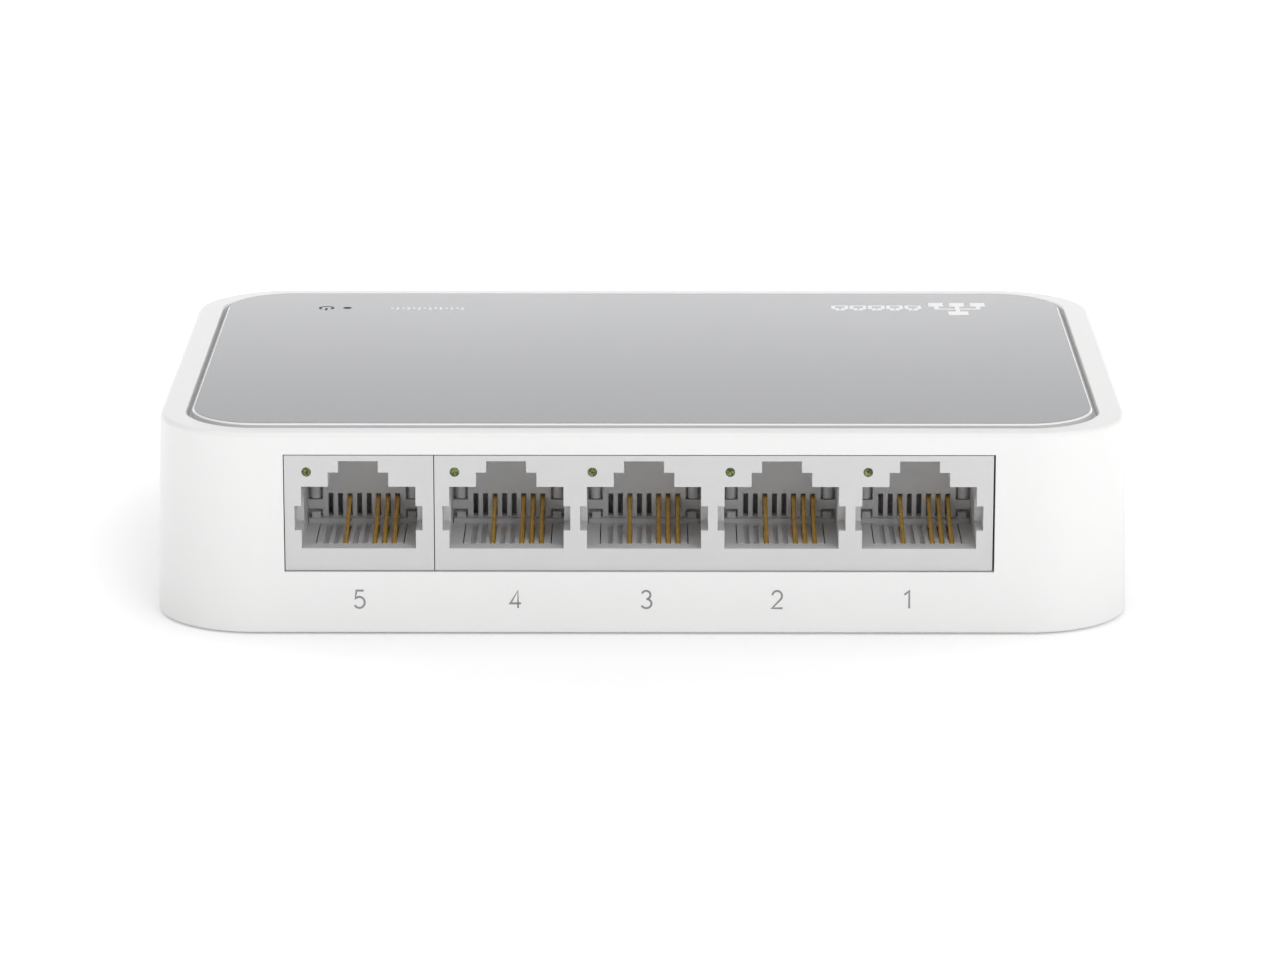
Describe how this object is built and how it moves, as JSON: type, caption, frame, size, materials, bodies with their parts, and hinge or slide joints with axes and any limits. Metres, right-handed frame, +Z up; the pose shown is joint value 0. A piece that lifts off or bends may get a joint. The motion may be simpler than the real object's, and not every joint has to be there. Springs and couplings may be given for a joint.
{
  "type": "desktop network switch",
  "caption": "Low rectangular desktop network switch with rounded corners, a row of network sockets in its front wall and an inlaid grey top.",
  "frame": {"origin": "centre of the footprint, in the plane of the feet", "axes": "+X along the row of sockets from port 5 to port 1, +Y from the sockets to the plain back, +Z up"},
  "size_m": [0.1034, 0.07, 0.022],
  "materials": {
    "case_white": "satin moulded ABS",
    "plate_white": "satin moulded ABS",
    "film_grey": "smooth satin film",
    "adhesive_grey": "matt adhesive sheet",
    "light_guide": "clear acrylic",
    "label_stock": "blank matt label",
    "foot_rubber": "matt",
    "screw_steel": "zinc plated",
    "board_green": "glass-fibre board with solder mask",
    "jack_grey": "matt moulded nylon",
    "carrier_grey": "matt moulded nylon",
    "contact_gold": "gold-flashed bronze wire",
    "lamp_body": "clear lamp on white base",
    "inlet_black": "matt",
    "inlet_metal": "nickel plated",
    "chip_black": "matt moulding compound",
    "lead_tin": "tin plated",
    "can_steel": "nickel-plated can",
    "capacitor_sleeve": "shrink sleeve",
    "inductor_ferrite": "ferrite",
    "ceramic_tan": "ceramic",
    "resistor_black": "ceramic"
  },
  "bodies": {
    "switch_body": {"upper_housing": "case_white", "bottom_cover": "case_white", "top_plate": "plate_white", "top_overlay": "film_grey", "plate_adhesive": "adhesive_grey", "power_light_guide": "light_guide", "link_light_guide_5": "light_guide", "link_light_guide_4": "light_guide", "link_light_guide_3": "light_guide", "link_light_guide_2": "light_guide", "link_light_guide_1": "light_guide", "rating_label": "label_stock", "foot_front_left": "foot_rubber", "foot_front_right": "foot_rubber", "foot_rear_left": "foot_rubber", "foot_rear_right": "foot_rubber", "case_screws": "screw_steel", "board_screws": "screw_steel", "circuit_board": "board_green", "single_jack_housing": "jack_grey", "quad_jack_housing": "jack_grey", "contact_carrier_5": "carrier_grey", "contact_carrier_4": "carrier_grey", "contact_carrier_3": "carrier_grey", "contact_carrier_2": "carrier_grey", "contact_carrier_1": "carrier_grey", "contact_leads_5": "contact_gold", "contact_leads_4": "contact_gold", "contact_leads_3": "contact_gold", "contact_leads_2": "contact_gold", "contact_leads_1": "contact_gold", "link_lamps": "lamp_body", "power_lamp": "lamp_body", "power_inlet_housing": "inlet_black", "power_inlet_pin": "inlet_metal", "power_inlet_anchor": "inlet_metal", "power_inlet_switch": "inlet_metal", "switch_chip": "chip_black", "regulator": "chip_black", "quad_transformer": "chip_black", "single_transformer": "chip_black", "input_diode": "chip_black", "switch_chip_leads": "lead_tin", "quad_transformer_leads": "lead_tin", "single_transformer_leads": "lead_tin", "crystal_can": "can_steel", "bulk_capacitor_1": "capacitor_sleeve", "bulk_capacitor_2": "capacitor_sleeve", "power_inductor": "inductor_ferrite", "chip_capacitors": "ceramic_tan", "chip_resistors": "resistor_black"},
    "contacts_5": {"contact_springs_5": "contact_gold"},
    "contacts_4": {"contact_springs_4": "contact_gold"},
    "contacts_3": {"contact_springs_3": "contact_gold"},
    "contacts_2": {"contact_springs_2": "contact_gold"},
    "contacts_1": {"contact_springs_1": "contact_gold"},
    "inlet_sleeve": {"power_inlet_spring": "inlet_metal"}
  },
  "joints": [
    {"name": "contact_flex_5", "type": "hinge", "parent": "switch_body", "child": "contacts_5", "pos_m": [-0.02969, -0.03155, 0.00868], "axis": [-1, 0, 0], "range_deg": [0, 10], "stiffness_Nm_per_rad": 0.1},
    {"name": "contact_flex_4", "type": "hinge", "parent": "switch_body", "child": "contacts_4", "pos_m": [-0.0142, -0.03155, 0.00868], "axis": [-1, 0, 0], "range_deg": [0, 10], "stiffness_Nm_per_rad": 0.1},
    {"name": "contact_flex_3", "type": "hinge", "parent": "switch_body", "child": "contacts_3", "pos_m": [0.00021, -0.03155, 0.00868], "axis": [-1, 0, 0], "range_deg": [0, 10], "stiffness_Nm_per_rad": 0.1},
    {"name": "contact_flex_2", "type": "hinge", "parent": "switch_body", "child": "contacts_2", "pos_m": [0.01462, -0.03155, 0.00868], "axis": [-1, 0, 0], "range_deg": [0, 10], "stiffness_Nm_per_rad": 0.1},
    {"name": "contact_flex_1", "type": "hinge", "parent": "switch_body", "child": "contacts_1", "pos_m": [0.02903, -0.03155, 0.00868], "axis": [-1, 0, 0], "range_deg": [0, 10], "stiffness_Nm_per_rad": 0.1},
    {"name": "inlet_sleeve_flex", "type": "hinge", "parent": "switch_body", "child": "inlet_sleeve", "pos_m": [-0.0397, 0.008, 0.01], "axis": [0, -1, 0], "range_deg": [0, 4], "stiffness_Nm_per_rad": 0.15}
  ]
}
